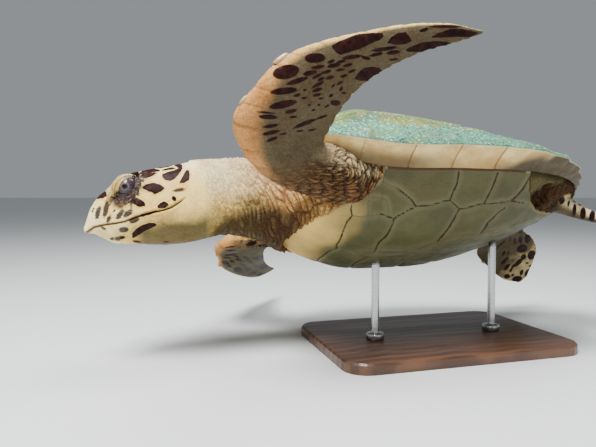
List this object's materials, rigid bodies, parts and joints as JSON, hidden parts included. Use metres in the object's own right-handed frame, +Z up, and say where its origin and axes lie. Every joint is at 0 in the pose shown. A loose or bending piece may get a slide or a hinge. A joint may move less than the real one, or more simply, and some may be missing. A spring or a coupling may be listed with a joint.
{
  "type": "hawksbill sea turtle",
  "caption": "Life-size swimming hawksbill sea turtle with hooked beak, scaled head and flippers and algae-grown shell, held by rods on a plain flat base.",
  "frame": {"origin": "middle of the underside of the stand's base, on the floor", "axes": "+Z up, the head toward -X, the animal's left side toward -Y"},
  "size_m": [0.9822, 0.7489, 0.5003],
  "materials": {
    "skin": "wrinkled cream skin with dark scales",
    "back_shell": "horny scutes under a film of green algae",
    "belly_shell": "yellowish scutes with dark seams",
    "horn": "pale yellow horn",
    "eye": "wet, dark iris and pupil",
    "claw": "pale horn",
    "stand_base": "satin dark stain",
    "stand_rod": "brushed"
  },
  "bodies": {
    "root": {"carapace": "back_shell", "plastron": "belly_shell", "trunk": "skin", "neck": "skin", "head": "skin", "lower_jaw": "skin", "beak_upper": "horn", "beak_lower": "horn", "eye_left": "eye", "eye_right": "eye", "flipper_front_left": "skin", "flipper_front_right": "skin", "flipper_rear_left": "skin", "flipper_rear_right": "skin", "tail": "skin", "claw_front_left_1": "claw", "claw_front_left_2": "claw", "claw_front_right_1": "claw", "claw_front_right_2": "claw", "claw_rear_left_1": "claw", "claw_rear_right_1": "claw", "stand_base": "stand_base", "stand_rod_front": "stand_rod", "stand_rod_rear": "stand_rod"}
  },
  "joints": []
}
